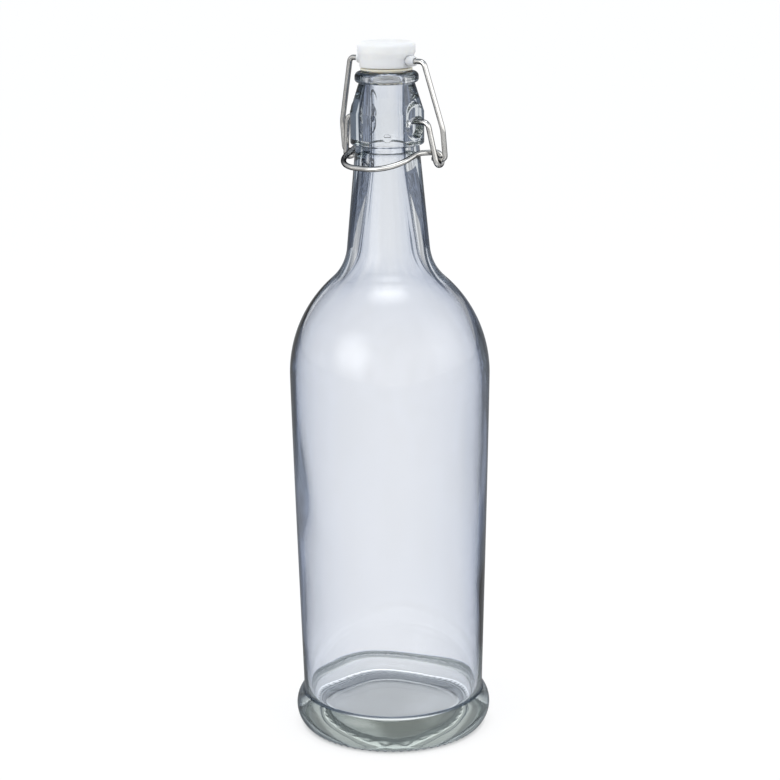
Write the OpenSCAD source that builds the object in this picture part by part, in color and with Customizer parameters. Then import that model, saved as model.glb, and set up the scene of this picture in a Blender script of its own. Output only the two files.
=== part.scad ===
// Swing-top bottle: a clear glass bottle with a flared foot, closed by a
// plastic stopper with a soft seal, a bail wire and a lever wire.
// Units are millimetres. The origin is the centre of the face that the
// bottle stands on, +Z is up, the wires turn about axes along X, and the
// lever's loop lies towards -Y.

/* [Glass body] */
// Height of the glass, from the table to the top of the lip
glass_h = 298.6; // [280:0.1:330]
// Widest diameter of the rounded foot
foot_d = 89; // [86:0.1:94]
// Height of the foot's widest line above the table
foot_mid_h = 8.4; // [7:0.1:9.5]
// Radius of the foot's rounded side, seen in section
foot_side_r = 11.3; // [10:0.1:13]
// How far the side, just above the foot, lies inside the foot's widest line
waist_inset = 3.5; // [2:0.1:5]
// Diameter at the start of the shoulder
body_d = 89.1; // [86:0.1:94]
// Distance from the lip down to the start of the shoulder
shoulder_drop = 133.6; // [125:0.1:150]
// How much the side swells: 1 is a straight taper
body_swell = 1.15; // [1:0.01:1.5]
// Radius of the shoulder's dome, seen in section
shoulder_r = 57; // [50:0.1:62]
// Radius of the hollow curve between shoulder and neck
neck_fillet_r = 21; // [15:0.1:28]
// Diameter of the neck just under the collar
neck_d = 27.9; // [26:0.1:30]
// Slope of the neck's side, in degrees from upright
neck_taper = 5.4; // [4:0.1:7]

/* [Glass walls] */
// Thickness of the side wall and shoulder
wall = 2.8; // [2:0.1:4]
// Height of the inner floor at its edge above the table
floor_h = 10; // [8:0.1:13]
// How far the middle of the inner floor stands above its edge
floor_rise = 1.5; // [0.5:0.1:3]
// Radius of the inner corner between floor and wall
heel_r = 8; // [5:0.1:10]
// Height of the hollow under the bottle
punt_h = 4.5; // [2:0.1:6]
// Width of the ring that the bottle stands on
ring_w = 4.8; // [3.5:0.1:7]
// Number of grooves round the ring's outer edge
groove_count = 72; // [36:1:90]
// Width of each groove
groove_w = 1.8; // [1:0.1:2.2]
// Diameter of the straight bore through the neck
bore_d = 16; // [14.6:0.1:17]
// Length of the straight bore, from the lip down
bore_l = 40.6; // [34:0.1:48]
// Slope of the bore's wall below its straight length, in degrees
bore_taper = 8.2; // [6:0.1:10]

/* [Neck finish] */
// Distance from the lip down to the collar's underside
finish_h = 31.4; // [30:0.1:36]
// Diameter of the collar
collar_d = 32.2; // [31:0.1:34]
// Height of the collar's upright face
collar_h = 14; // [12:0.1:15]
// Radius of the collar's lower edge
collar_edge_r = 0.9; // [0.3:0.1:1.4]
// Diameter of the groove under the lip
throat_d = 24.2; // [23:0.1:26]
// Diameter of the lip's bead
lip_d = 27.8; // [26.5:0.1:28.2]
// Height of the lip's bead
lip_h = 4.8; // [4.5:0.1:7]
// Radius of the lip's upper outer edge
lip_top_r = 2.3; // [1.5:0.1:3]
// Radius of the lip's lower outer edge
lip_low_r = 1.6; // [0.8:0.1:2]
// Radius of the mouth's inner edge
mouth_r = 1.3; // [0.8:0.1:1.5]
// Diameter of the small moulded dot on the collar
dot_d = 3.4; // [2:0.1:5]
// How far the dot stands out
dot_rise = 0.4; // [0.2:0.05:0.8]
// Height of the dot's centre above the collar's underside
dot_h = 4.4; // [3:0.1:8]
// Direction of the dot round the collar, in degrees from +X
dot_angle = -52; // [-180:1:180]

/* [Pivot pads] */
// Distance from the lip down to the lever's pivot
pivot_drop = 20.8; // [19:0.1:22]
// Width of each raised pad round a pivot recess
pad_w = 12; // [10:0.1:13]
// Height of each pad
pad_h = 16.6; // [13:0.1:17]
// How far the pads stand out from the collar
pad_rise = 0.7; // [0.3:0.05:1.2]
// Diameter of the recess at its mouth
recess_d = 9.2; // [8.8:0.1:9.8]
// Diameter of the recess at its floor
recess_floor_d = 7.8; // [7.6:0.1:8.4]
// Depth of the recess, from the pad's face
recess_depth = 4; // [3:0.1:4.5]
// How far the recess's centre lies below the pivot
recess_drop = 2.3; // [1.8:0.05:2.4]
// Depth of the small round socket in the recess's floor
socket_depth = 1; // [0.6:0.1:1.5]

/* [Stopper] */
// Diameter of the stopper's cap
cap_d = 25.2; // [23.5:0.1:27]
// Height of the whole head, from its underside to its top
head_h = 10.8; // [10:0.1:14]
// Diameter of the head below the cap
head_d = 23.4; // [22.8:0.1:25]
// Height of the head below the cap
head_low_h = 5.3; // [5.2:0.1:6.5]
// Radius of the cap's upper edge
cap_edge_r = 1.8; // [0.5:0.1:3]
// Height of the wire's hole above the head's underside
hole_h = 3.1; // [2.6:0.1:3.1]
// Diameter of the two side bosses round the wire
boss_d = 4.3; // [3.8:0.1:4.4]
// Distance from one boss's end to the other's
boss_span = 31; // [28:0.1:33]
// Diameter of the post that carries the seal
post_d = 10; // [8:0.1:11]
// Diameter of the button that keeps the seal on the post
button_d = 12.4; // [11.4:0.1:13]
// Height of the button
button_h = 1.6; // [1:0.1:2.2]

/* [Seal] */
// Diameter of the seal's flange
flange_d = 22.6; // [20:0.1:23]
// Thickness of the flange
flange_t = 1.1; // [0.8:0.05:2]
// Gap between flange and lip, which the closing wires take up on the way
seal_gap = 0.7; // [0.6:0.05:0.95]
// Length of the seal's cone below the flange
cone_l = 3.5; // [2:0.1:4]
// Gap between cone and bore, at the cone's root
cone_gap = 0.4; // [0.35:0.05:0.8]
// How much smaller in radius the cone is at its end
cone_draw = 0.6; // [0.3:0.05:1]

/* [Wires] */
// Diameter of the bail's wire
bail_wire_d = 2.3; // [2:0.05:2.5]
// Diameter of the lever's wire
lever_wire_d = 2.4; // [2:0.05:2.6]
// Gap between a wire and the round hole that it turns in
pivot_gap = 0.1; // [0.05:0.01:0.15]
// Gap between the bail's hooks and the lever's eyes
eye_gap = 0.25; // [0.15:0.01:0.4]
// Gap between wires that pass each other
pass_gap = 0.3; // [0.3:0.05:0.6]
// Distance between the outer turns of the two eyes
eye_span = 50.2; // [48:0.1:52]
// How far the eyes hang below the pivot
eye_drop = 16; // [15:0.1:17]
// How far the eyes lie behind the pivot, so that the closure locks
eye_back = 4.8; // [3.5:0.1:5]
// Distance between the bends of the lever's two stubs
stub_span = 44; // [43:0.1:45]
// Distance between the lever's arms where they start to dip
arm_span = 34.8; // [34:0.1:37]
// How far in front of the pivot the arms start to dip
arm_front = 0.4; // [0:0.1:3]
// How far in front of the pivot the loop reaches
loop_front = 18.6; // [18.4:0.1:22]
// How far below the pivot the loop reaches
loop_drop = 19.3; // [19.1:0.1:22]
// Distance between the loop's corners, before they are rounded
loop_w = 30.2; // [29.6:0.1:33]
// Radius of the loop's corners
loop_r = 14; // [8:0.1:14.4]
// Radius of the bends where the arms start to dip
arm_r = 8; // [4:0.1:9]
// Radius of the lever's other bends
lever_bend_r = 2.6; // [2.4:0.1:3]
// Distance between the bail's bends at the stopper
bail_top_span = 40; // [39:0.1:44]
// Distance between the bail's legs where they are widest
bail_wide_span = 55.2; // [54:0.1:58]
// Height above the eyes at which the legs are widest
bail_wide_h = 13; // [9:0.1:18]
// Radius of the bail's bends at the stopper
bail_top_r = 2.6; // [2:0.1:4]
// Radius of the bail's soft bends where the legs are widest
bail_wide_r = 14; // [4:0.1:18]
// Radius of the bail's bends at the hooks
hook_r = 1.9; // [1.6:0.1:2]
// How far each hook sticks out of its eye
hook_out = 0.8; // [0.3:0.1:1.5]

/* [Hidden] */
$fn = 96;

// Overrun of every cut past the face that it opens
over = 1;

// Heights of the finish, the pivot and the stopper
collar_z = glass_h - finish_h;
lip_z = glass_h - lip_h;
pivot_z = glass_h - pivot_drop;
head_z = glass_h + seal_gap + flange_t;
hole_z = head_z + hole_h;
eye_z = pivot_z - eye_drop;

// The foot's side is one arc, and its crease is where the arc meets the waist
foot_arc_x = foot_d / 2 - foot_side_r;
waist_r = foot_d / 2 - waist_inset;
crease_angle = acos((waist_r - foot_arc_x) / foot_side_r);
crease_z = foot_mid_h + foot_side_r * sin(crease_angle);
table_angle = -asin(foot_mid_h / foot_side_r);
ring_out_r = foot_arc_x + foot_side_r * cos(table_angle);
ring_in_r = ring_out_r - ring_w;
shoulder_z = glass_h - shoulder_drop;

// Pads and recesses
pad_r = collar_d / 2 + pad_rise;
recess_x = pad_r - recess_depth;
socket_r = lever_wire_d / 2 + pivot_gap;
stub_x = recess_x - socket_depth + pivot_gap;

// Seal: its parts stack from the head downwards
cone_r = bore_d / 2 - cone_gap;
flange_z = head_z - flange_t;
cone_z = flange_z - cone_l;

// Eyes: one turn of the lever's wire round each hook
lever_r = lever_wire_d / 2;
bail_r = bail_wire_d / 2;
eye_r = bail_r + eye_gap + lever_r;
eye_pitch = lever_wire_d + pass_gap;
eye_out_x = eye_span / 2;
eye_in_x = eye_out_x - eye_pitch * 0.75;
leg_x = eye_out_x + lever_r + pass_gap + bail_r;
hook_end_x = eye_in_x - lever_r - hook_out;

// Corner points of one half of each wire, from the middle outwards or from
// the free end inwards. The other half is their mirror image.
bail_lean = eye_back / (hole_z - eye_z);
bail_half = [
    [bail_top_span / 2, 0, hole_z],
    [bail_wide_span / 2, eye_back - bail_lean * bail_wide_h, eye_z + bail_wide_h],
    [leg_x, eye_back, eye_z],
    [hook_end_x, eye_back, eye_z]
];
lever_half = [
    [stub_x, 0, pivot_z],
    [stub_span / 2, 0, pivot_z],
    [eye_out_x, eye_back - eye_r, eye_z - eye_r],
    [eye_out_x - eye_pitch / 4, eye_back + eye_r, eye_z - eye_r],
    [eye_in_x, eye_back + eye_r, eye_z + eye_r],
    [arm_span / 2, -arm_front, eye_z + eye_r],
    [loop_w / 2, -loop_front, pivot_z - loop_drop]
];
eye_bend_r = eye_r - pivot_gap;
lever_bends = [lever_bend_r, eye_bend_r, eye_bend_r, eye_bend_r, arm_r, loop_r];
bail_bends = [bail_top_r, bail_wide_r, hook_r];

// How a straight laps into a bend, and how much slimmer the bend is, as
// shares of the wire's radius
wire_lap = 0.05;
wire_slim = 0.01;

function unit(v) = v / norm(v);
function backwards(list) = [for (i = [len(list) - 1:-1:0]) list[i]];
function mirrored(list) = [for (p = list) [-p[0], p[1], p[2]]];

// Length that a bend takes off the straight on each side of corner i
function bend_trim(points, bends, i) =
    let (a = unit(points[i] - points[i - 1]), b = unit(points[i + 1] - points[i]))
    bends[i - 1] * tan(acos(a * b) / 2);

// Points of an arc in a section, about centre c
function arc(c, r, from, to, steps) =
    [for (i = [0:steps]) let (a = from + (to - from) * i / steps) c + r * [cos(a), sin(a)]];

// Side of the body, swelling from radius low at the crease to radius high
function side(low, high, from_z, steps) =
    [for (i = [1:steps - 1]) let (t = i / steps)
        [low + (high - low) * (1 - pow(1 - t, body_swell)), from_z + (shoulder_z - from_z) * t]];

// Dome of the shoulder and the hollow curve into the neck. The neck's line
// passes through [r, z] at the given slope, and the fillet touches both.
function shoulder(high, dome_r, fillet_r, r, z, slope) =
    let (c = [high - dome_r, shoulder_z],
         down = [sin(slope), -cos(slope)],
         out = [cos(slope), sin(slope)],
         q = [r, z] + fillet_r * out - c,
         reach = dome_r + fillet_r,
         s = -q * down - sqrt(pow(q * down, 2) - q * q + reach * reach),
         f = c + q + s * down,
         turn = atan2(f[1] - c[1], f[0] - c[0]))
    concat(arc(c, dome_r, 0, turn, 24), arc(f, fillet_r, turn + 180, slope + 180, 10));

// Outer section of the glass, from the axis under the bottle to the lip
function glass_outside() = concat(
    [for (i = [0:8]) let (t = i / 8) [ring_in_r * t, punt_h * sqrt(1 - t * t)]],
    arc([foot_arc_x, foot_mid_h], foot_side_r, table_angle, crease_angle, 16),
    side(waist_r, body_d / 2, crease_z, 8),
    shoulder(body_d / 2, shoulder_r, neck_fillet_r, neck_d / 2, collar_z, neck_taper),
    [[neck_d / 2, collar_z - (collar_d - neck_d) / 4]],
    arc([collar_d / 2 - collar_edge_r, collar_z + collar_edge_r], collar_edge_r, -75, 0, 5),
    [[collar_d / 2, collar_z + collar_h], [throat_d / 2, lip_z]],
    arc([lip_d / 2 - lip_low_r, lip_z + lip_low_r], lip_low_r, -70, 0, 6),
    arc([lip_d / 2 - lip_top_r, glass_h - lip_top_r], lip_top_r, 0, 90, 8)
);

// Inner section, from the mouth down to the middle of the floor
function glass_inside() = concat(
    arc([bore_d / 2 + mouth_r, glass_h - mouth_r], mouth_r, 90, 180, 6),
    [[bore_d / 2, glass_h - bore_l]],
    backwards(shoulder(body_d / 2 - wall, shoulder_r - wall, neck_fillet_r + wall,
        bore_d / 2, glass_h - bore_l, bore_taper)),
    backwards(side(waist_r - wall, body_d / 2 - wall, floor_h + heel_r, 8)),
    arc([waist_r - wall - heel_r, floor_h + heel_r], heel_r, 0, -90, 8),
    [for (i = [1:8]) let (t = 1 - i / 8)
        [(waist_r - wall - heel_r) * t, floor_h + floor_rise * (1 - t * t)]]
);

// Children turned so that their axes lie along x, y and z, and moved to at
module placed(x, y, z, at) {
    multmatrix([[x[0], y[0], z[0], at[0]], [x[1], y[1], z[1], at[1]], [x[2], y[2], z[2], at[2]]])
        children();
}

// A straight length of wire
module straight(from, to, r) {
    z = unit(to - from);
    x = unit(cross([0, 1, 0], z));
    placed(x, cross(z, x), z, from)
        cylinder(r = r, h = norm(to - from));
}

// A wire through corner points, with a bend radius for each inner corner.
// Every straight laps a little into its bends, which are a little slimmer.
module bent_wire(points, bends, r) {
    last = len(points) - 1;
    trims = [0, for (i = [1:last - 1]) bend_trim(points, bends, i), 0];
    for (i = [0:last - 1]) {
        along = unit(points[i + 1] - points[i]);
        before = i == 0 ? 0 : trims[i] - r * wire_lap;
        after = i == last - 1 ? 0 : trims[i + 1] - r * wire_lap;
        straight(points[i] + before * along, points[i + 1] - after * along, r);
    }
    for (i = [1:last - 1]) {
        into = unit(points[i] - points[i - 1]);
        out = unit(points[i + 1] - points[i]);
        axis = unit(cross(into, out));
        away = cross(into, axis);
        placed(away, into, axis, points[i] - trims[i] * into - bends[i - 1] * away)
            rotate_extrude(angle = acos(into * out))
                translate([bends[i - 1], 0])
                    circle(r = r * (1 - wire_slim));
    }
}

// A wire whose two halves mirror each other about the plane between them
module mirrored_wire(half, bends, r) {
    bent_wire(concat(half, backwards(mirrored(half))), concat(bends, backwards(bends)), r);
}

// Both sides of the bottle, at +X and -X
module both_sides() {
    for (turn = [0, 180])
        rotate([0, 0, turn])
            children();
}

// Raised oval pad round a pivot recess, on the +X side
module pad() {
    intersection() {
        translate([0, 0, collar_z])
            cylinder(r = pad_r, h = finish_h - lip_h);
        union() {
            for (up = [-1, 1])
                translate([bore_d / 2 + wall, 0, pivot_z + up * (pad_h - pad_w) / 2])
                    rotate([0, 90, 0])
                        cylinder(d = pad_w, h = pad_r);
            translate([bore_d / 2 + wall, -pad_w / 2, pivot_z - (pad_h - pad_w) / 2])
                cube([pad_r, pad_w, pad_h - pad_w]);
        }
    }
}

// Space of the recess and of its round socket, on the +X side
module recess() {
    translate([recess_x, 0, pivot_z - recess_drop])
        rotate([0, 90, 0])
            cylinder(d1 = recess_floor_d, d2 = recess_d + (recess_d - recess_floor_d) * over / recess_depth,
                h = recess_depth + over);
    translate([recess_x - socket_depth, 0, pivot_z])
        rotate([0, 90, 0])
            cylinder(r = socket_r, h = socket_depth + over);
}

// Grooves round the outer edge of the ring that the bottle stands on
module grooves() {
    for (i = [0:groove_count - 1])
        rotate([0, 0, 360 * i / groove_count])
            translate([ring_in_r + ring_w / 2, 0, 0])
                rotate([0, 90, 0])
                    cylinder(d = groove_w, h = ring_w);
}

// One blown glass body with its moulded finish
module glass_bottle() {
    color([0.84, 0.88, 0.92, 0.5])
    difference() {
        union() {
            rotate_extrude()
                polygon(concat(glass_outside(), glass_inside()));
            both_sides()
                difference() {
                    pad();
                    translate([0, 0, collar_z - over])
                        cylinder(d = throat_d, h = finish_h);
                }
            rotate([0, 0, dot_angle])
                translate([collar_d / 2 - (dot_d * dot_d / 4 - dot_rise * dot_rise) / (2 * dot_rise), 0,
                    collar_z + dot_h])
                    sphere(r = (dot_d * dot_d / 4 + dot_rise * dot_rise) / (2 * dot_rise));
        }
        both_sides()
            recess();
        grooves();
    }
}

// Moulded stopper with the wire's hole, two side bosses and the seal's post
module stopper() {
    color([0.95, 0.95, 0.93])
    difference() {
        union() {
            rotate_extrude()
                polygon(concat(
                    [[0, cone_z - button_h], [button_d / 2 - button_h / 2, cone_z - button_h],
                     [button_d / 2, cone_z - button_h / 2], [button_d / 2, cone_z],
                     [post_d / 2, cone_z], [post_d / 2, head_z], [head_d / 2, head_z],
                     [head_d / 2, head_z + head_low_h],
                     [cap_d / 2, head_z + head_low_h + (cap_d - head_d) / 4]],
                    arc([cap_d / 2 - cap_edge_r, head_z + head_h - cap_edge_r], cap_edge_r, 0, 90, 8),
                    [[0, head_z + head_h]]));
            translate([-boss_span / 2, 0, hole_z])
                rotate([0, 90, 0])
                    cylinder(d = boss_d, h = boss_span);
        }
        translate([-boss_span / 2 - over, 0, hole_z])
            rotate([0, 90, 0])
                cylinder(r = bail_r + pivot_gap, h = boss_span + 2 * over);
    }
}

// Soft seal: a flange that lies over the lip and a cone that enters the mouth
module seal() {
    color([0.86, 0.85, 0.78])
    rotate_extrude()
        polygon([[post_d / 2, cone_z], [cone_r - cone_draw, cone_z], [cone_r, flange_z],
            [flange_d / 2, flange_z], [flange_d / 2, head_z], [post_d / 2, head_z]]);
}

// Upper wire: through the stopper, down both sides, hooked into the eyes
module bail_wire() {
    color([0.75, 0.75, 0.76])
    mirrored_wire(backwards(bail_half), backwards(bail_bends), bail_r);
}

// Lower wire: sprung into the recesses, wound once into an eye on each side,
// and carried round the front of the neck as the lever's loop
module lever_wire() {
    color([0.7, 0.7, 0.72])
    mirrored_wire(lever_half, lever_bends, lever_r);
}

glass_bottle();
stopper();
seal();
bail_wire();
lever_wire();
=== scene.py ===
import math

import bpy
import numpy as np
from mathutils import Matrix


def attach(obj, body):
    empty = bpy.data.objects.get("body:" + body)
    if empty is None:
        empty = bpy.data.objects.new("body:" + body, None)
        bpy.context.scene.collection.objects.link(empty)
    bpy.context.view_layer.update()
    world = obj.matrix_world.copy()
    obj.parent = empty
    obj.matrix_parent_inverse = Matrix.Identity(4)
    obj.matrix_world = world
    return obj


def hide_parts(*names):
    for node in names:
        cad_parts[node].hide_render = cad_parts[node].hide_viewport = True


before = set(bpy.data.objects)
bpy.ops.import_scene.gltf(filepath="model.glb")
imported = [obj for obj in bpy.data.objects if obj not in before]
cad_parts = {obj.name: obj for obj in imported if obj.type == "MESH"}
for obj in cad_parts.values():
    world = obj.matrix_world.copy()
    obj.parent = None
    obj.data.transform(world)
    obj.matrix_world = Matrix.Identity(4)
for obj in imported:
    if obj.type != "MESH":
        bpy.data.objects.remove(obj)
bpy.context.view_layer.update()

# Glass body. Flint glass, blown in a mould in one piece: a flared foot with a
# grooved ring under it, a body that swells towards the shoulder, a long neck,
# and a collar with two pads whose recesses take the lever's wire.
# Lengths are in millimetres here and in the other pieces' sections.
glass_h = 298.6
foot_r = 44.5
foot_mid_h = 8.4
foot_side_r = 11.3
waist_inset = 3.5
body_r = 44.55
shoulder_drop = 133.6
body_swell = 1.15
crease_edge = 0.4
crease_shade_core = 0.2
crease_shade_fade = 0.8
shoulder_r = 57.0
neck_fillet_r = 21.0
neck_r = 13.95
neck_taper = 5.4
wall = 2.8
floor_h = 10.0
floor_rise = 1.5
heel_r = 8.0
punt_h = 4.5
ring_w = 4.8
groove_count = 72
groove_r = 0.9
groove_in_drop = 1.4
groove_out_drop = 0.1
groove_points = 5
stipple_h = 1.2
stipple_fade_h = 2.4
bore_r = 8.0
bore_l = 40.6
bore_taper = 8.2
finish_h = 31.4
collar_r = 16.1
collar_h = 14.0
collar_edge_r = 0.9
throat_r = 12.1
lip_r = 13.9
lip_h = 4.8
lip_top_r = 2.3
lip_low_r = 1.6
mouth_r = 1.3
dot_r = 1.7
dot_rise = 0.4
dot_h = 4.4
dot_angle = math.radians(-52)
pad_r = 16.8
pad_round_r = 6.0
pad_half_h = 8.3
pad_edge = 0.7
pad_reach = 0.5
pivot_drop = 20.8
recess_drop = 2.3
recess_r = 4.6
recess_floor_r = 3.9
recess_depth = 4.0
socket_r = 1.3
socket_depth = 1.0
socket_edge = 0.5
socket_steep = 6
collar_soft = 0.5
foot_steps = 30
side_steps = 18
collar_steps = 36
throat_steps = 22
ripple = 0.3
ripple_waves = [
    (2, 0.021, 0.6, 1.0), (3, -0.034, 2.1, 0.8), (5, 0.052, 4.0, 0.6), (4, 0.11, 1.2, 0.4),
]
ripple_start_h = 25
ripple_end_drop = 10
ripple_above = 0.75
ripple_in_r = 20
ripple_out_r = 36

collar_z = glass_h - finish_h
lip_z = glass_h - lip_h
pivot_z = glass_h - pivot_drop
foot_arc_r = foot_r - foot_side_r
waist_r = foot_r - waist_inset
crease_angle = math.acos((waist_r - foot_arc_r) / foot_side_r)
crease_z = foot_mid_h + foot_side_r * math.sin(crease_angle)
table_angle = -math.asin(foot_mid_h / foot_side_r)
ring_out_r = foot_arc_r + foot_side_r * math.cos(table_angle)
ring_in_r = ring_out_r - ring_w
shoulder_z = glass_h - shoulder_drop


def arc(centre, radius, start, end, steps):
    """Points of an arc in a section, with its angles in radians"""
    turns = np.linspace(start, end, steps + 1)
    return [(centre[0] + radius * math.cos(t), centre[1] + radius * math.sin(t)) for t in turns]


def line(start, end, steps):
    """Points between two points of a section, without either"""
    return [tuple(np.add(start, np.subtract(end, start) * i / steps)) for i in range(1, steps)]


def side(low, from_z, high, steps):
    """The body's side, which widens quickly at first and then slowly"""
    shares = [i / steps for i in range(1, steps)]
    return [
        (low + (high - low) * (1 - (1 - t) ** body_swell), from_z + (shoulder_z - from_z) * t)
        for t in shares
    ]


def shoulder(high, dome_r, fillet_r, r, z, slope):
    """The shoulder's dome and the hollow curve that leads into the neck"""
    centre = np.array([high - dome_r, shoulder_z])
    down = np.array([math.sin(slope), -math.cos(slope)])
    out = np.array([math.cos(slope), math.sin(slope)])
    q = np.array([r, z]) + fillet_r * out - centre
    reach = dome_r + fillet_r
    run = -q @ down - math.sqrt((q @ down) ** 2 - q @ q + reach * reach)
    hollow = centre + q + run * down
    turn = math.atan2(hollow[1] - centre[1], hollow[0] - centre[0])
    dome = arc(centre, dome_r, 0, turn, 26)
    return dome + arc(hollow, fillet_r, turn + math.pi, slope + math.pi, 12)[1:]


def outer_section():
    """From the axis under the bottle, up the outside, to the top of the lip"""
    neck_top = (neck_r, collar_z - collar_soft)
    low_edge = arc(
        (collar_r - collar_edge_r, collar_z + collar_edge_r), collar_edge_r, -1.4, 0, 4
    )
    low_bead = arc((lip_r - lip_low_r, lip_z + lip_low_r), lip_low_r, -1.2, 0, 5)
    top_bead = arc((lip_r - lip_top_r, glass_h - lip_top_r), lip_top_r, 0, math.pi / 2, 7)
    slope = math.radians(neck_taper)
    section = [
        (ring_in_r * t, punt_h * math.sqrt(1 - t * t)) for t in np.sin(np.linspace(0, 1.57, 12))
    ]
    section += line((ring_in_r, 0), (ring_out_r, 0), 8)
    section += arc((foot_arc_r, foot_mid_h), foot_side_r, table_angle, crease_angle, foot_steps)
    section += [(waist_r + h / 30, crease_z + h) for h in (crease_edge, 3 * crease_edge)]
    section += side(waist_r, crease_z, body_r, side_steps)
    section += shoulder(body_r, shoulder_r, neck_fillet_r, neck_r, collar_z, slope)
    section += line(section[-1], neck_top, 4) + [neck_top] + low_edge
    collar_top = (collar_r, collar_z + collar_h)
    section += line((collar_r, collar_z + collar_edge_r), collar_top, collar_steps)
    section += [collar_top]
    section += line(collar_top, (throat_r, lip_z), throat_steps)
    return section + [(throat_r, lip_z)] + low_bead + top_bead


def inner_section():
    """From the mouth, down the inside, to the middle of the floor"""
    edge = arc((bore_r + mouth_r, glass_h - mouth_r), mouth_r, math.pi / 2, math.pi, 6)
    bore_end = (bore_r, glass_h - bore_l)
    slope = math.radians(bore_taper)
    inner_r = waist_r - wall
    section = edge + line(edge[-1], bore_end, 8) + [bore_end]
    section += shoulder(
        body_r - wall, shoulder_r - wall, neck_fillet_r + wall, *bore_end, slope
    )[::-1]
    section += side(inner_r, floor_h + heel_r, body_r - wall, side_steps)[::-1]
    section += arc((inner_r - heel_r, floor_h + heel_r), heel_r, 0, -math.pi / 2, 9)
    shares = np.linspace(1, 0, 9)[1:]
    return section + [
        ((inner_r - heel_r) * t, floor_h + floor_rise * (1 - t * t)) for t in shares
    ]


def lathe_faces(rows, around):
    """Faces of a turned shell: pole 0, then the rows, then the last pole"""
    faces = []
    for j in range(around):
        k = (j + 1) % around
        faces.append((0, 1 + k, 1 + j))
        for i in range(rows - 1):
            a = 1 + i * around
            faces.append((a + j, a + k, a + around + k, a + around + j))
        last = 1 + (rows - 1) * around
        faces.append((last + j, last + k, last + around))
    return faces


def new_piece(name, points, faces):
    """A smooth mesh object at the origin, from points in millimetres"""
    mesh = bpy.data.meshes.new(name)
    mesh.from_pydata((np.asarray(points) / 1000).tolist(), [], faces)
    mesh.shade_smooth()
    mesh.update()
    piece = bpy.data.objects.new(name, mesh)
    bpy.context.scene.collection.objects.link(piece)
    return piece


def smooth(low, high, value):
    """0 below low, 1 above high, and a soft step between them"""
    t = np.clip((value - low) / (high - low), 0, 1)
    return t * t * (3 - 2 * t)


def grid(section, around):
    """Radii, heights and angles of a section turned about the axis"""
    inner = np.array(section[1:-1])
    turns = np.arange(around) * 2 * math.pi / around
    shape = (len(inner), around)
    return (
        np.broadcast_to(inner[:, :1], shape).copy(),
        np.broadcast_to(inner[:, 1:], shape).copy(),
        np.broadcast_to(turns, shape).copy(),
    )


outside = outer_section()
section = outside + inner_section()
around = groove_count * groove_points
r, z, turn = grid(section, around)
on_outside = (np.arange(len(section) - 2) < len(outside) - 1)[:, None]

# The mould leaves grooves round the edge of the ring that the bottle stands on
pitch = 2 * math.pi / groove_count
across = r * np.sin((turn + pitch / 2) % pitch - pitch / 2)
groove = np.sqrt(np.maximum(groove_r**2 - across**2, 0))
groove *= smooth(ring_out_r - groove_in_drop, ring_out_r - groove_out_drop, r)
z = np.where(on_outside & (z < groove_r) & (r > ring_in_r + 1), np.maximum(z, groove), z)

# Glass that ran unevenly inside the mould: the inner wall is a little wavy
wave = sum(
    share * np.sin(count * turn + z * per_mm + start)
    for count, per_mm, start, share in ripple_waves
)
fading = smooth(shoulder_z - ripple_end_drop, collar_z - 3 * ripple_end_drop, z)
calm = smooth(floor_h, floor_h + ripple_start_h, z) * (1 - fading * ripple_above)
r = np.where(on_outside, r, r + ripple * wave * calm * smooth(ripple_in_r, ripple_out_r, r))

# Pads, the dot and the recesses belong to the collar alone
at_collar = on_outside & (z > collar_z - 1) & (z < lip_z)
y = r * np.sin(turn)
past_middle = np.maximum(np.abs(z - pivot_z) - (pad_half_h - pad_round_r), 0)
from_middle = np.hypot(y, past_middle)
pad = at_collar * (1 - smooth(pad_round_r - pad_edge, pad_round_r, from_middle))
r = r + (pad_r - r) * pad * (np.abs(np.cos(turn)) > pad_reach)
round_dot = (turn - dot_angle + math.pi) % (2 * math.pi) - math.pi
from_dot = np.hypot(r * round_dot, z - collar_z - dot_h)
r = r + at_collar * dot_rise * np.maximum(1 - (from_dot / dot_r) ** 2, 0)
x, y = r * np.cos(turn), r * np.sin(turn)
recess_x = pad_r - recess_depth
from_recess = np.hypot(y, z - pivot_z + recess_drop)
recess = recess_x + recess_depth * smooth(recess_floor_r, recess_r, from_recess)
from_socket = np.hypot(y, z - pivot_z)
socket_out_r = socket_r + socket_edge
socket = recess_x - socket_depth + socket_steep * smooth(socket_r, socket_out_r, from_socket)
depth = np.where(from_recess < recess_r, np.minimum(recess, np.abs(x)), np.abs(x))
at_socket = (from_socket < socket_out_r) & (from_recess < recess_floor_r)
depth = np.where(at_socket, np.minimum(socket, depth), depth)
x = np.where(at_collar, np.sign(x) * depth, x)

points = np.concatenate([
    [(0, 0, section[0][1])],
    np.stack([x, y, z], axis=-1).reshape(-1, 3),
    [(0, 0, section[-1][1])],
])
glass = new_piece("glass_body", points, lathe_faces(len(section) - 2, around))


def mark(name, rows, last=0):
    """A number at each point of the glass, which its material reads"""
    marks = glass.data.attributes.new(name, "FLOAT", "POINT")
    marks.data.foreach_set("value", np.concatenate([[0], np.ravel(rows), [last]]))


mark("inner_wall", np.where(on_outside, 0, np.ones_like(r)), last=1)
# The crease mark: a band round the outside at the crease over the foot, which the glass's material
# darkens as painted shade
from_crease = np.abs(z - crease_z)
mark("crease", np.where(on_outside, 1 - smooth(crease_shade_core, crease_shade_fade, from_crease), 0))
on_ring = on_outside & (r < ring_out_r + 1)
mark("stippled", np.where(on_ring, 1 - smooth(stipple_h, stipple_fade_h, z), 0))


def linear(code):
    """A colour's sRGB hex code as the linear numbers that a shader takes"""
    parts = [int(code[i:i + 2], 16) / 255 for i in (1, 3, 5)]
    return [p / 12.92 if p <= 0.04045 else ((p + 0.055) / 1.055) ** 2.4 for p in parts] + [1.0]


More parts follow.
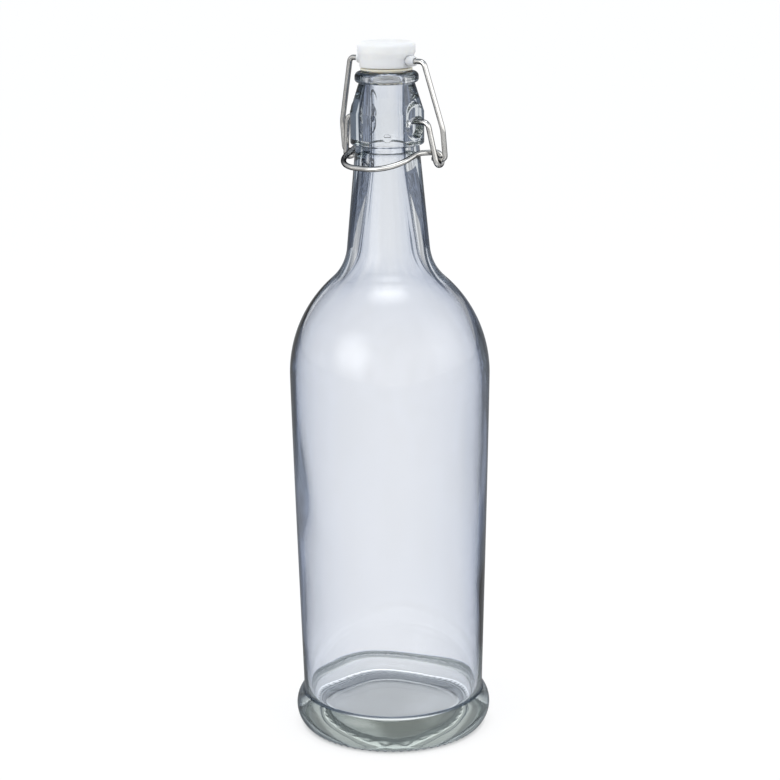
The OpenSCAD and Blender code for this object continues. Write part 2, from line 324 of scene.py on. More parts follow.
def add(tree, kind, links=(), values=None, **settings):
    """A node with its settings, the values of inputs given by name or place,
    and links given as (input, node, output)"""
    made = tree.nodes.new(kind)
    for name, value in settings.items():
        if name in made.inputs:
            made.inputs[name].default_value = value
        else:
            setattr(made, name, value)
    for socket, value in (values or {}).items():
        made.inputs[socket].default_value = value
    for socket, source, output in links:
        tree.links.new(source.outputs[output], made.inputs[socket])
    return made


def new_material(name):
    """A material with an empty tree, and that tree"""
    made = bpy.data.materials.new(name)
    made.use_nodes = True
    made.node_tree.nodes.clear()
    return made, made.node_tree


def ramp_stops(node, stops):
    """Sets a colour ramp's stops from pairs of place and hex colour"""
    stop_list = node.color_ramp.elements
    while len(stop_list) < len(stops):
        stop_list.new(0.5)
    for stop, (place, code) in zip(stop_list, stops):
        stop.position = place
        stop.color = linear(code)


# Flint glass, blown and fire polished: clear, with a blue-grey cast that gathers
# where the eye looks along the wall and painted shade that darkens it almost to
# black where the wall is seen edge on, greener where thick, with painted shade
# in the crease over the foot, rough under it, and with streaks that the neck's
# drawing left, which also vary the painted shade.
flint, tree = new_material("flint_glass_blown")
place = add(tree, "ShaderNodeTexCoord")

# Cords in the glass, about 11 mm wide and 66 mm tall, which vary how far the
# tint and the painted edge shade reach
drawn = add(
    tree, "ShaderNodeMapping", [("Vector", place, "Object")], {"Scale": (1.0, 1.0, 0.16)}
)
cords = add(
    tree, "ShaderNodeTexNoise", [("Vector", drawn, "Vector")],
    Scale=95.0, Detail=2.0, Roughness=0.5,
)
uneven = add(
    tree, "ShaderNodeMapRange", [("Value", cords, "Fac")],
    {"From Min": 0.25, "From Max": 0.75, "To Min": 0.88, "To Max": 1.12},
)
facing = add(tree, "ShaderNodeLayerWeight", Blend=0.5)

# Streaks in the neck, about 2 mm wide round its 14 mm radius and 50 mm tall,
# which run along the wall and fade out over the height of the neck's foot; they
# darken the painted edge shade in streaks
streak_start = 0.192
streak_full = 0.225
flat = add(
    tree, "ShaderNodeVectorMath", [(0, place, "Object")],
    {1: (1.0, 1.0, 0.0)}, operation="MULTIPLY",
)
spoke = add(tree, "ShaderNodeVectorMath", [(0, flat, "Vector")], operation="NORMALIZE")
meridian = add(
    tree, "ShaderNodeVectorMath", [(0, place, "Object"), (2, spoke, "Vector")],
    {1: (0.0, 0.0, 3.0)}, operation="MULTIPLY_ADD",
)
strands = add(
    tree, "ShaderNodeTexNoise", [("Vector", meridian, "Vector")], Scale=6.5, Detail=1.0
)
streaky = add(
    tree, "ShaderNodeMapRange", [("Value", strands, "Fac")],
    {"From Min": 0.33, "From Max": 0.67, "To Min": 0.75, "To Max": 2.3},
)
level = add(tree, "ShaderNodeSeparateXYZ", [("Vector", place, "Object")])
necked = add(
    tree, "ShaderNodeMapRange", [("Value", level, "Z")],
    {"From Min": streak_start, "From Max": streak_full}, interpolation_type="SMOOTHSTEP",
)
uneven = add(
    tree, "ShaderNodeMix",
    [(0, necked, "Result"), (2, uneven, "Result"), (3, streaky, "Result")],
)

# The wall is thicker and thinner over about 80 mm, drawn as patches where the
# tint and the painted edge shade reach further or less far
thickness_and_shade_patches = add(tree, "ShaderNodeTexNoise", [("Vector", place, "Object")], Scale=13.0, Detail=1.0)
gather = add(
    tree, "ShaderNodeMapRange", [("Value", thickness_and_shade_patches, "Fac")],
    {"From Min": 0.3, "From Max": 0.7, "To Min": 0.86, "To Max": 1.16},
)

# How far the eye looks along the wall, weaker on the inner wall of the body; it
# sets both the tint and the painted edge shade
slant = add(
    tree, "ShaderNodeMath", [(0, facing, "Facing"), (1, uneven, "Result")], operation="MULTIPLY"
)
slant = add(
    tree, "ShaderNodeMath", [(0, slant, "Value"), (1, gather, "Result")], operation="MULTIPLY"
)
inner = add(tree, "ShaderNodeAttribute", attribute_name="inner_wall")
eased = add(
    tree, "ShaderNodeMapRange", [("Value", level, "Z")],
    {"From Min": streak_start, "From Max": streak_full, "To Min": -0.6, "To Max": -0.1},
    interpolation_type="SMOOTHSTEP",
)
plainer = add(
    tree, "ShaderNodeMath", [(0, inner, "Fac"), (1, eased, "Result")],
    {2: 1.0}, operation="MULTIPLY_ADD",
)
share = add(
    tree, "ShaderNodeMath", [(0, slant, "Value"), (1, plainer, "Value")], operation="MULTIPLY"
)
# Painted shade in the crease over the foot: the crease mark pushes the ramp towards its dark end
crease_shade = add(tree, "ShaderNodeAttribute", attribute_name="crease")
share = add(
    tree, "ShaderNodeMath", [(0, crease_shade, "Fac"), (2, share, "Value")],
    {1: 0.85}, operation="MULTIPLY_ADD",
)
# The ramp: a light blue-grey tint where the wall is seen straight on, then painted shade, dark
# slate to almost black, where it is seen edge on and in the crease
tint_and_edge_shade = add(tree, "ShaderNodeValToRGB", [("Fac", share, "Value")])
ramp_stops(tint_and_edge_shade, [
    (0.0, "#F4F5F8"), (0.35, "#E8EBF2"), (0.58, "#D6DBE7"), (0.69, "#BEC5D3"), (0.77, "#566072"),
    (0.87, "#2B3442"), (1.0, "#323C4C"),
])

# The surface swells gently over about 25 mm, and the foot's ring is stippled
swirl = add(
    tree, "ShaderNodeTexNoise", [("Vector", place, "Object")],
    Scale=38.0, Detail=2.0, Roughness=0.45,
)
bump = add(tree, "ShaderNodeBump", [("Height", swirl, "Fac")], Strength=0.12, Distance=0.001)
grit = add(tree, "ShaderNodeAttribute", attribute_name="stippled")
frost = add(tree, "ShaderNodeMath", [(0, grit, "Fac")], {1: 0.5}, operation="MULTIPLY")
shade = add(
    tree, "ShaderNodeBsdfPrincipled",
    [("Base Color", tint_and_edge_shade, "Color"), ("Normal", bump, "Normal"), ("Roughness", frost, "Value")],
    {"Transmission Weight": 1.0}, IOR=1.52,
)
depth_tint = add(tree, "ShaderNodeVolumeAbsorption", Color=linear("#C6CDC6"), Density=22.0)
add(
    tree, "ShaderNodeOutputMaterial",
    [("Surface", shade, "BSDF"), ("Volume", depth_tint, "Volume")],
)
glass.data.materials.append(flint)
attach(glass, "bottle")
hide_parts("glass_bottle")

# Lever wire. Drawn steel, bent cold: two stubs that spring into the recesses,
# one full turn on each side as an eye, and the loop that the thumb lifts.
lever_r = 1.2
bail_r = 1.15
eye_gap = 0.25
pass_gap = 0.3
pivot_gap = 0.1
eye_x = 25.1
eye_drop = 16.0
eye_back = 4.8
stub_bend_x = 22.0
arm_x = 17.4
arm_front = 0.4
loop_front = 18.6
loop_drop = 19.3
loop_x = 15.1
loop_corner_r = 14.0
arm_bend_r = 8.0
stub_bend_r = 2.6
straight_step = 0.8
bend_step = 0.35
wire_sides = 28

eye_z = pivot_z - eye_drop
eye_r = bail_r + eye_gap + lever_r
eye_pitch = 2 * lever_r + pass_gap
eye_in_x = eye_x - eye_pitch * 0.75
eye_bend_r = eye_r - pivot_gap


def both_halves(half, bends):
    """Corners and bend radii of a whole wire from those of its +X half"""
    other = [(-x, y, z) for x, y, z in reversed(half)]
    return half + other, bends + bends[::-1]


def wire_line(corners, bends):
    """Points along a bent wire, close together in its bends"""
    corners = [np.array(c, float) for c in corners]
    points = [corners[0]]
    for i in range(1, len(corners) - 1):
        into = corners[i] - corners[i - 1]
        out = corners[i + 1] - corners[i]
        into, out = into / np.linalg.norm(into), out / np.linalg.norm(out)
        turn = math.acos(into @ out)
        trim = bends[i - 1] * math.tan(turn / 2)
        away = np.cross(into, np.cross(into, out) / math.sin(turn))
        start = corners[i] - trim * into
        gap = np.linalg.norm(start - points[-1])
        steps = max(int(gap / straight_step), 1)
        points += [points[-1] + (start - points[-1]) * k / steps for k in range(1, steps + 1)]
        centre = start - bends[i - 1] * away
        steps = max(int(bends[i - 1] * turn / bend_step), 4)
        for k in range(1, steps + 1):
            a = turn * k / steps
            points.append(centre + bends[i - 1] * (away * math.cos(a) + into * math.sin(a)))
    last = points[-1]
    steps = max(int(np.linalg.norm(corners[-1] - last) / straight_step), 1)
    points += [last + (corners[-1] - last) * k / steps for k in range(1, steps + 1)]
    return np.array(points)


def wire_tree():
    """Geometry Nodes that draw a round wire along a line of points"""
    made = bpy.data.node_groups.new("drawn_wire", "GeometryNodeTree")
    made.interface.new_socket("Line", in_out="INPUT", socket_type="NodeSocketGeometry")
    made.interface.new_socket("Wire radius", in_out="INPUT", socket_type="NodeSocketFloat")
    made.interface.new_socket("Sides", in_out="INPUT", socket_type="NodeSocketInt")
    made.interface.new_socket("Steel", in_out="INPUT", socket_type="NodeSocketMaterial")
    made.interface.new_socket("Wire", in_out="OUTPUT", socket_type="NodeSocketGeometry")
    given = add(made, "NodeGroupInput")
    ring = add(
        made, "GeometryNodeCurvePrimitiveCircle",
        [("Radius", given, "Wire radius"), ("Resolution", given, "Sides")],
    )
    wire = add(
        made, "GeometryNodeCurveToMesh",
        [("Curve", given, "Line"), ("Profile Curve", ring, "Curve")],
        {"Fill Caps": True},
    )
    whole = add(made, "GeometryNodeRealizeInstances", [("Geometry", wire, "Mesh")])
    steel_on = add(
        made, "GeometryNodeSetMaterial",
        [("Geometry", whole, "Geometry"), ("Material", given, "Steel")],
    )
    add(made, "NodeGroupOutput", [("Wire", steel_on, "Geometry")])
    return made


def drawn_wire(name, points, radius, steel):
    """A plain mesh of a wire, made from a curve by the tree above"""
    curve = bpy.data.curves.new(name, "CURVE")
    curve.dimensions = "3D"
    spline = curve.splines.new("POLY")
    spline.points.add(len(points) - 1)
    for point, place in zip(spline.points, points):
        point.co = (*(place / 1000), 1.0)
    guide = bpy.data.objects.new(name + "_line", curve)
    bpy.context.scene.collection.objects.link(guide)
    bend = guide.modifiers.new("wire", "NODES")
    bend.node_group = wire_shape
    items = wire_shape.interface.items_tree
    sockets = {item.name: item.identifier for item in items if item.in_out == "INPUT"}
    bend[sockets["Wire radius"]] = radius / 1000
    bend[sockets["Sides"]] = wire_sides
    bend[sockets["Steel"]] = steel
    seen = guide.evaluated_get(bpy.context.evaluated_depsgraph_get())
    mesh = bpy.data.meshes.new_from_object(seen)
    bpy.data.objects.remove(guide)
    mesh.name = name
    mesh.shade_smooth()
    wire = bpy.data.objects.new(name, mesh)
    bpy.context.scene.collection.objects.link(wire)
    return wire


# Bright spring steel, drawn through a die: a polished skin that mirrors the
# room in lines along the wire, a little duller in patches of about 6 mm, with
# painted shade that darkens it towards the edges that turn away from the eye.
steel, tree = new_material("drawn_spring_steel")
place = add(tree, "ShaderNodeTexCoord")
blotch = add(tree, "ShaderNodeTexNoise", [("Vector", place, "Object")], Scale=160.0, Detail=2.0)
tone = add(tree, "ShaderNodeValToRGB", [("Fac", blotch, "Fac")])
ramp_stops(tone, [(0.3, "#DEDCD8"), (0.7, "#EAE9E6")])
dull = add(
    tree, "ShaderNodeMapRange", [("Value", blotch, "Fac")],
    {"From Min": 0.3, "From Max": 0.7, "To Min": 0.14, "To Max": 0.24},
)
# Painted shade: the colour darkens from white to dark grey where the wire turns away from the eye,
# and this multiplies the steel's tone
facing = add(tree, "ShaderNodeLayerWeight", Blend=0.5)
edge = add(tree, "ShaderNodeValToRGB", [("Fac", facing, "Facing")])
ramp_stops(edge, [(0.0, "#FFFFFF"), (0.28, "#F0F0F0"), (0.55, "#9A9B9E"), (0.85, "#4C4D50")])
tone_and_edge_shade = add(
    tree, "ShaderNodeMix", [(6, tone, "Color"), (7, edge, "Color")],
    {0: 1.0}, data_type="RGBA", blend_type="MULTIPLY",
)
# The dark grey specular tint is painted shade too: it darkens the reflection at the wire's edges
shade = add(
    tree, "ShaderNodeBsdfPrincipled", [("Base Color", tone_and_edge_shade, 2), ("Roughness", dull, "Result")],
    {"Specular Tint": linear("#606266")}, Metallic=1.0,
)
add(tree, "ShaderNodeOutputMaterial", [("Surface", shade, "BSDF")])

wire_shape = wire_tree()
stub_x = recess_x - socket_depth + pivot_gap
lever_half = [
    (stub_x, 0, pivot_z),
    (stub_bend_x, 0, pivot_z),
    (eye_x, eye_back - eye_r, eye_z - eye_r),
    (eye_x - eye_pitch / 4, eye_back + eye_r, eye_z - eye_r),
    (eye_in_x, eye_back + eye_r, eye_z + eye_r),
    (arm_x, -arm_front, eye_z + eye_r),
    (loop_x, -loop_front, pivot_z - loop_drop),
]
lever_bends = [stub_bend_r, eye_bend_r, eye_bend_r, eye_bend_r, arm_bend_r, loop_corner_r]
lever = drawn_wire("lever_loop", wire_line(*both_halves(lever_half, lever_bends)), lever_r, steel)
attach(lever, "lever")
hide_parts("lever_wire")

# Bail wire. The same drawn steel, a little thinner: it runs through the
# stopper's hole, down both sides, and hooks into the lever's eyes.
bail_top_x = 20.0
bail_wide_x = 27.6
bail_wide_h = 13.0
bail_wide_r = 14.0
bail_top_r = 2.6
hook_r = 1.9
hook_out = 0.8
seal_gap = 0.7
flange_t = 1.1
hole_h = 3.1

head_z = glass_h + seal_gap + flange_t
hole_z = head_z + hole_h
leg_x = eye_x + lever_r + pass_gap + bail_r
lean = eye_back / (hole_z - eye_z)
bail_half = [
    (eye_in_x - lever_r - hook_out, eye_back, eye_z),
    (leg_x, eye_back, eye_z),
    (bail_wide_x, eye_back - lean * bail_wide_h, eye_z + bail_wide_h),
    (bail_top_x, 0, hole_z),
]
bail_bends = [hook_r, bail_wide_r, bail_top_r]
bail = drawn_wire("bail", wire_line(*both_halves(bail_half, bail_bends)), bail_r, steel)
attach(bail, "bail")
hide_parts("bail_wire")

# Stopper. Polypropylene, injection moulded: a cap, a slightly narrower head
# with a boss round the wire on each side, and a post with a button below.
cap_r = 12.6
head_h = 10.8
head_r = 11.7
head_low_h = 5.3
step_soft = 1.5
cap_edge_r = 1.8
low_edge_r = 0.5
dimple_r = 2.6
dimple_edge_r = 0.7
dimple_depth = 0.3
boss_r = 2.15
boss_x = 15.5
boss_sunk = 3
boss_edge_r = 0.4
hole_r = 1.25
hole_edge_r = 0.3
post_r = 5.0
button_r = 6.2
button_h = 1.6
button_edge_r = 0.7
turn_count = 128
boss_count = 32
cone_l = 3.5
cone_z = head_z - flange_t - cone_l

head_top = head_z + head_h
step_z = head_z + head_low_h
stopper_section = [(0, cone_z - button_h)]
stopper_section += line(stopper_section[0], (button_r - 0.6, cone_z - button_h), 4)
stopper_section += arc(
    (button_r - button_edge_r, cone_z - button_h / 2), button_edge_r, -math.pi / 2, math.pi / 2, 8
)
stopper_section += [(post_r + 0.2, cone_z - 0.05), (post_r, cone_z + 0.1)]
stopper_section += line((post_r, cone_z + 0.1), (post_r, head_z - 0.1), 3)
stopper_section += [(post_r, head_z - 0.1), (post_r + 0.1, head_z)]
stopper_section += line((post_r, head_z), (head_r - low_edge_r, head_z), 4)
stopper_section += arc(
    (head_r - low_edge_r, head_z + low_edge_r), low_edge_r, -math.pi / 2, 0, 5
)
stopper_section += line((head_r, head_z + low_edge_r), (head_r, step_z - step_soft), 4)
stopper_section += [
    (head_r + (cap_r - head_r) * (1 - math.cos(t)) / 2, step_z + step_soft * (t / math.pi * 2 - 1))
    for t in np.linspace(0, math.pi, 11)
]
stopper_section += line((cap_r, step_z + step_soft), (cap_r, head_top - cap_edge_r), 4)
stopper_section += arc((cap_r - cap_edge_r, head_top - cap_edge_r), cap_edge_r, 0, math.pi / 2, 8)
stopper_section += line((cap_r - cap_edge_r, head_top), (dimple_r, head_top - 0.25), 6)
stopper_section += arc(
    (dimple_r - 1, head_top - 0.9), dimple_edge_r, math.pi / 2 - 0.5, math.pi / 2, 3
)
stopper_section += [(0, head_top - dimple_depth)]


def turned(section, around):
    """Points of a section turned about the bottle's axis"""
    r, z, turn = grid(section, around)
    rows = np.stack([r * np.cos(turn), r * np.sin(turn), z], axis=-1).reshape(-1, 3)
    return np.concatenate([[(0, 0, section[0][1])], rows, [(0, 0, section[-1][1])]])


def loop_faces(rows, around):
    """Faces of a turned ring, whose last row joins the first"""
    faces = []
    for i in range(rows):
        here, there = i * around, (i + 1) % rows * around
        for j in range(around):
            k = (j + 1) % around
            faces.append((here + j, here + k, there + k, there + j))
    return faces


def boss_ring(side_x):
    """A boss round the wire: a short tube along X whose ends are rounded"""
    inner_x = head_r - boss_sunk
    edge_x = boss_x - boss_edge_r
    section = line((inner_x, hole_r), (boss_x - 0.25, hole_r), 3)
    section += arc(
        (boss_x - hole_edge_r, hole_r + hole_edge_r), hole_edge_r, -math.pi / 2, 0, 3
    )
    section += arc((edge_x, boss_r - boss_edge_r), boss_edge_r, 0, math.pi / 2, 4)
    section += line((edge_x, boss_r), (inner_x, boss_r), 3) + [(inner_x, boss_r)]
    turns = np.arange(boss_count) * 2 * math.pi / boss_count
    points = [
        (side_x * x, r * math.cos(t) * side_x, hole_z + r * math.sin(t))
        for x, r in section for t in turns
    ]
    return points, [face[::-1] for face in loop_faces(len(section), boss_count)]


stopper_points = [turned(stopper_section, turn_count)]
stopper_faces = lathe_faces(len(stopper_section) - 2, turn_count)
for side_x in (1, -1):
    ring_points, ring_faces = boss_ring(side_x)
    base = sum(len(p) for p in stopper_points)
    stopper_points.append(np.array(ring_points))
    stopper_faces += [tuple(base + i for i in face) for face in ring_faces]
stopper = new_piece("stopper_head", np.concatenate(stopper_points), stopper_faces)

# Milky polypropylene, moulded: light sinks in and glows back, so that the
# wire shows faintly, with clouds of about 8 mm and the soft gloss of a polished
# mould. The skin's orange peel is finer than 1 mm and is drawn at about 1 mm.
milky, tree = new_material("milky_polypropylene")
place = add(tree, "ShaderNodeTexCoord")
cloud = add(tree, "ShaderNodeTexNoise", [("Vector", place, "Object")], Scale=130.0, Detail=3.0)
tone = add(tree, "ShaderNodeValToRGB", [("Fac", cloud, "Fac")])
ramp_stops(tone, [(0.35, "#F5F5F3"), (0.65, "#FAFAF8")])
skin = add(tree, "ShaderNodeTexNoise", [("Vector", place, "Object")], Scale=900.0, Detail=2.0)
bump = add(tree, "ShaderNodeBump", [("Height", skin, "Fac")], Strength=0.08, Distance=0.0003)
shade = add(
    tree, "ShaderNodeBsdfPrincipled",
    [("Base Color", tone, "Color"), ("Normal", bump, "Normal")],
    {
        "Subsurface Weight": 0.7, "Subsurface Radius": (1.0, 0.95, 0.85),
        "Subsurface Scale": 0.004, "Transmission Weight": 0.12,
    },
    Roughness=0.32, IOR=1.49,
)
add(tree, "ShaderNodeOutputMaterial", [("Surface", shade, "BSDF")])
stopper.data.materials.append(milky)
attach(stopper, "closure")
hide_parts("stopper")

# Seal. Soft off-white rubber, moulded: a flange over the lip and a cone that
# enters the mouth, stretched over the stopper's button.
flange_r = 11.3
cone_r = 7.6
cone_draw = 0.6
flange_edge_r = 0.5
seal_play = 0.05

flange_z = head_z - flange_t - 0.25
seal_section = [(post_r + seal_play, cone_z + seal_play)]
seal_section += arc((cone_r - cone_draw - 0.3, cone_z + 0.3), 0.3, -math.pi / 2, 0, 4)
seal_section += line(seal_section[-1], (cone_r, flange_z - 0.2), 5)
seal_section += [(cone_r, flange_z - 0.2), (cone_r + 0.2, flange_z)]
flange_edge = (flange_r - flange_edge_r, flange_z)
seal_section += line((cone_r + 0.2, flange_z), flange_edge, 4)
seal_section += arc(
    (flange_edge[0], flange_z + 0.55), flange_edge_r, -math.pi / 2, math.pi / 2, 8
)
seal_section += [(post_r + seal_play, head_z - seal_play)]
turns = np.arange(turn_count) * 2 * math.pi / turn_count
seal_points = [(r * math.cos(t), r * math.sin(t), z) for r, z in seal_section for t in turns]
seal = new_piece("seal_ring", seal_points, loop_faces(len(seal_section), turn_count))

# Silicone rubber, moulded: matt and slightly yellowed. Its grain is finer than
# 1 mm and is drawn at about 1.4 mm.
silicone, tree = new_material("moulded_silicone_rubber")
place = add(tree, "ShaderNodeTexCoord")
grain = add(tree, "ShaderNodeTexNoise", [("Vector", place, "Object")], Scale=700.0, Detail=4.0)
tone = add(tree, "ShaderNodeValToRGB", [("Fac", grain, "Fac")])
ramp_stops(tone, [(0.35, "#EBE2CB"), (0.65, "#F1EAD8")])
bump = add(tree, "ShaderNodeBump", [("Height", grain, "Fac")], Strength=0.2, Distance=0.0003)
shade = add(
    tree, "ShaderNodeBsdfPrincipled",
    [("Base Color", tone, "Color"), ("Normal", bump, "Normal")],
    {"Subsurface Weight": 0.3, "Subsurface Radius": (1.0, 0.8, 0.6), "Subsurface Scale": 0.002},
    Roughness=0.6, IOR=1.42,
)
add(tree, "ShaderNodeOutputMaterial", [("Surface", shade, "BSDF")])
seal.data.materials.append(silicone)
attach(seal, "closure")
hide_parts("seal")

# Studio. A pale floor that carries on to a white room, soft lamps, and the
# camera where the photographer stood.
azimuth = math.radians(38)
pitch_down = math.radians(14.32)
roll = math.radians(0.62)
distance = 0.926
camera_h = 0.393
focal_px = 2136
photo_px = 780
sensor_mm = 36

forward = np.array([
    -math.sin(azimuth) * math.cos(pitch_down),
    math.cos(azimuth) * math.cos(pitch_down),
    -math.sin(pitch_down),
])
right = np.array([math.cos(azimuth), math.sin(azimuth), 0])
up = np.cross(right, forward)
side_axis = right * math.cos(roll) - up * math.sin(roll)
top_axis = up * math.cos(roll) + right * math.sin(roll)
lens = bpy.data.cameras.new("photo_camera")
lens.sensor_fit = "HORIZONTAL"
lens.sensor_width = sensor_mm
lens.lens = sensor_mm * focal_px / photo_px
camera = bpy.data.objects.new("photo_camera", lens)
bpy.context.scene.collection.objects.link(camera)
spot = (distance * math.sin(azimuth), -distance * math.cos(azimuth), camera_h)
turned_axes = Matrix(np.stack([side_axis, top_axis, -forward], axis=1).tolist()).to_4x4()
camera.matrix_world = Matrix.Translation(spot) @ turned_axes
bpy.context.scene.camera = camera

# White paper, which lies a hair below the foot, so that light still turns back
# at the glass there
paper_z = -0.0003
half = 6
floor_corners = [(-half, -half), (half, -half), (half, half), (-half, half)]
floor_mesh = bpy.data.meshes.new("studio_floor")
floor_mesh.from_pydata([(x, y, paper_z) for x, y in floor_corners], [], [(0, 1, 2, 3)])
floor = bpy.data.objects.new("studio_floor", floor_mesh)
bpy.context.scene.collection.objects.link(floor)
paper, tree = new_material("white_paper_sweep")

# Shares of white: what sharp reflections see, what the steel's sheen sees, and
# what the floor throws back at matt surfaces
mirror_light = 0.13
steel_gain = 1.6
steel_light = 0.12
bounce_light = 1.2


def seen_light(tree, sides):
    """How brightly a ray sees the room: white straight on or through the
    glass, and less after it has turned back inside glass, because such a
    ray leaves for the lamps and the dark gaps at the sides of the studio"""
    rays = add(tree, "ShaderNodeLightPath")
    straight = add(
        tree, "ShaderNodeMath", [(0, rays, "Glossy Depth")], {1: 0.5}, operation="LESS_THAN"
    )
    bent = add(tree, "ShaderNodeMix", [(0, straight, "Value"), (2, sides, "Result")], {3: 1.0})
    sheen = add(
        tree, "ShaderNodeMath", [(0, sides, "Result")],
        {1: steel_gain, 2: steel_light}, operation="MULTIPLY_ADD",
    )
    mirror = add(
        tree, "ShaderNodeMix", [(0, rays, "Is Singular Ray"), (2, sheen, "Value")],
        {3: mirror_light},
    )
    mirrored = add(
        tree, "ShaderNodeMath", [(0, mirror, 0), (1, rays, "Is Glossy Ray")],
        operation="MULTIPLY",
    )
    through = add(
        tree, "ShaderNodeMath",
        [(0, bent, 0), (1, rays, "Is Transmission Ray"), (2, rays, "Is Camera Ray")],
        operation="MULTIPLY_ADD",
    )
    return add(
        tree, "ShaderNodeMath", [(0, through, "Value"), (1, mirrored, "Value")], operation="ADD"
    )


# Light that turned back inside glass meets patches of about 240 mm on the floor,
# bright ones and dark blue-grey ones, but an even light near the bottle
place = add(tree, "ShaderNodeTexCoord")
reach = add(tree, "ShaderNodeVectorMath", [(0, place, "Object")], operation="LENGTH")
near = add(
    tree, "ShaderNodeMapRange", [("Value", reach, "Value")],
    {"From Min": 0.045, "From Max": 0.12, "To Min": 1.0, "To Max": 0.0},
    interpolation_type="SMOOTHSTEP",
)
shaded = add(tree, "ShaderNodeTexNoise", [("Vector", place, "Object")], Scale=4.2, Detail=1.0)
patches = add(
    tree, "ShaderNodeMapRange", [("Value", shaded, "Fac")],
    {"From Min": 0.44, "From Max": 0.62, "To Min": 0.03, "To Max": 0.52},
    interpolation_type="SMOOTHSTEP",
)
sides = add(tree, "ShaderNodeMix", [(0, near, "Result"), (2, patches, "Result")], {3: 0.85})
strength = seen_light(tree, sides)

# Painted shadow on the paper: greyer under the bottle, a dark line where the
# foot's ring touches it, and a pale grey rim just outside the foot
painted_contact_shadow = add(tree, "ShaderNodeValToRGB", [("Fac", reach, "Value")])
ramp_stops(painted_contact_shadow, [
    (0.0345, "#CDCECB"), (0.0368, "#50585A"), (0.0385, "#50585A"), (0.041, "#E2E2E2"),
    (0.046, "#EFEFEF"),
])
rays = add(tree, "ShaderNodeLightPath")
turned_back = add(
    tree, "ShaderNodeMath", [(0, rays, "Glossy Depth"), (1, rays, "Is Transmission Ray")],
    operation="MULTIPLY",
)
far_tone = add(
    tree, "ShaderNodeMix", [(0, near, "Result"), (7, painted_contact_shadow, "Color")],
    {6: linear("#A6B2CC")}, data_type="RGBA",
)
# Straight rays see the painted shadow; turned-back ones see it near the bottle and blue-grey
# further off
floor_tone = add(
    tree, "ShaderNodeMix", [(0, turned_back, "Value"), (6, painted_contact_shadow, "Color"), (7, far_tone, 2)],
    data_type="RGBA",
)
bounced = add(
    tree, "ShaderNodeMath", [(0, rays, "Is Diffuse Ray"), (2, strength, "Value")],
    {1: bounce_light}, operation="MULTIPLY_ADD",
)
glow = add(
    tree, "ShaderNodeEmission", [("Strength", bounced, "Value"), ("Color", floor_tone, 2)]
)
matt = add(tree, "ShaderNodeBsdfDiffuse", Color=linear("#6E6E6E"))
both = add(tree, "ShaderNodeAddShader", [(0, glow, "Emission"), (1, matt, "BSDF")])
add(tree, "ShaderNodeOutputMaterial", [("Surface", both, "Shader")])
floor_mesh.materials.append(paper)

# A white room with darker gaps between its upright flags and a greyer ceiling
world = bpy.data.worlds.new("white_room")
bpy.context.scene.world = world
world.use_nodes = True
tree = world.node_tree
tree.nodes.clear()
place = add(tree, "ShaderNodeTexCoord")
upright = add(
    tree, "ShaderNodeMapping", [("Vector", place, "Generated")], {"Scale": (1.0, 1.0, 0.3)}
)
flags = add(tree, "ShaderNodeTexNoise", [("Vector", upright, "Vector")], Scale=3.2, Detail=1.0)
gaps = add(
    tree, "ShaderNodeMapRange", [("Value", flags, "Fac")],
    {"From Min": 0.44, "From Max": 0.66, "To Min": 0.5, "To Max": 1.0},
    interpolation_type="SMOOTHSTEP",
)
strength = seen_light(tree, gaps)
height = add(tree, "ShaderNodeSeparateXYZ", [("Vector", place, "Generated")])
ceiling = add(tree, "ShaderNodeValToRGB", [("Fac", height, "Z")])
ramp_stops(ceiling, [(0.0, "#FFFFFF"), (0.3, "#FFFFFF"), (0.7, "#C4CAD1"), (1.0, "#A0A8B0")])
room = add(tree, "ShaderNodeBackground", Color=linear("#DDE2E8"), Strength=1.15)
white = add(
    tree, "ShaderNodeBackground", [("Color", ceiling, "Color"), ("Strength", strength, "Value")]
)
rays = add(tree, "ShaderNodeLightPath")
mixed = add(
    tree, "ShaderNodeMixShader",
    [(0, rays, "Is Diffuse Ray"), (1, white, "Background"), (2, room, "Background")],
)
add(tree, "ShaderNodeOutputWorld", [("Surface", mixed, "Shader")])


lamp_aim_z = 0.16


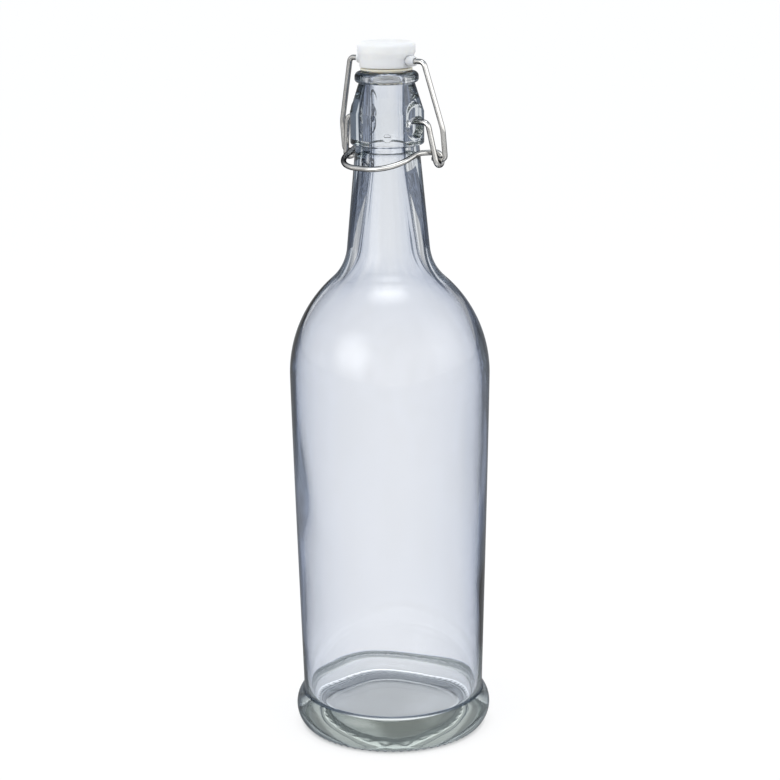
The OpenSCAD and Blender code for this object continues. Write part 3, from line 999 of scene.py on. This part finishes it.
def softbox(name, degrees, height, away, wide, tall, watts):
    """A lamp behind white cloth, turned towards the bottle's middle"""
    lamp = bpy.data.lights.new(name, "AREA")
    lamp.shape = "RECTANGLE"
    lamp.size = wide
    lamp.size_y = tall
    lamp.energy = watts
    lamp.use_nodes = True
    tree = lamp.node_tree
    tree.nodes.clear()
    cloth = add(tree, "ShaderNodeNewGeometry")
    middle = add(
        tree, "ShaderNodeVectorMath", [(0, cloth, "Parametric")],
        {1: (0.5, 0.5, 0)}, operation="SUBTRACT",
    )
    off = add(tree, "ShaderNodeVectorMath", [(0, middle, "Vector")], operation="LENGTH")
    fade = add(
        tree, "ShaderNodeMapRange", [("Value", off, "Value")],
        {"From Min": 0.05, "From Max": 0.45, "To Min": 3.0, "To Max": 0.0},
        interpolation_type="SMOOTHSTEP",
    )
    shine = add(tree, "ShaderNodeEmission", [("Strength", fade, "Result")])
    add(tree, "ShaderNodeOutputLight", [("Surface", shine, "Emission")])
    made = bpy.data.objects.new(name, lamp)
    bpy.context.scene.collection.objects.link(made)
    turn = math.radians(degrees)
    back = np.array([away * math.sin(turn), -away * math.cos(turn), height - lamp_aim_z])
    z_axis = back / np.linalg.norm(back)
    x_axis = np.cross([0, 0, 1], z_axis)
    x_axis = x_axis / np.linalg.norm(x_axis)
    y_axis = np.cross(z_axis, x_axis)
    axes = Matrix(np.stack([x_axis, y_axis, z_axis], axis=1).tolist()).to_4x4()
    made.matrix_world = Matrix.Translation(back + [0, 0, lamp_aim_z]) @ axes


softbox("left_softbox", degrees=-9, height=0.52, away=1.0, wide=1.4, tall=1.1, watts=3.2)
softbox("right_softbox", degrees=110, height=0.7, away=1.4, wide=2.4, tall=2.0, watts=3)
softbox("top_softbox", degrees=38, height=1.3, away=0.12, wide=1.3, tall=0.8, watts=3.6)

# Light turns back many times inside the thick base, so it is followed further
bpy.context.scene.cycles.max_bounces = 32
bpy.context.scene.cycles.glossy_bounces = 24
bpy.context.scene.cycles.transmission_bounces = 24
bpy.context.scene.view_settings.view_transform = "Standard"
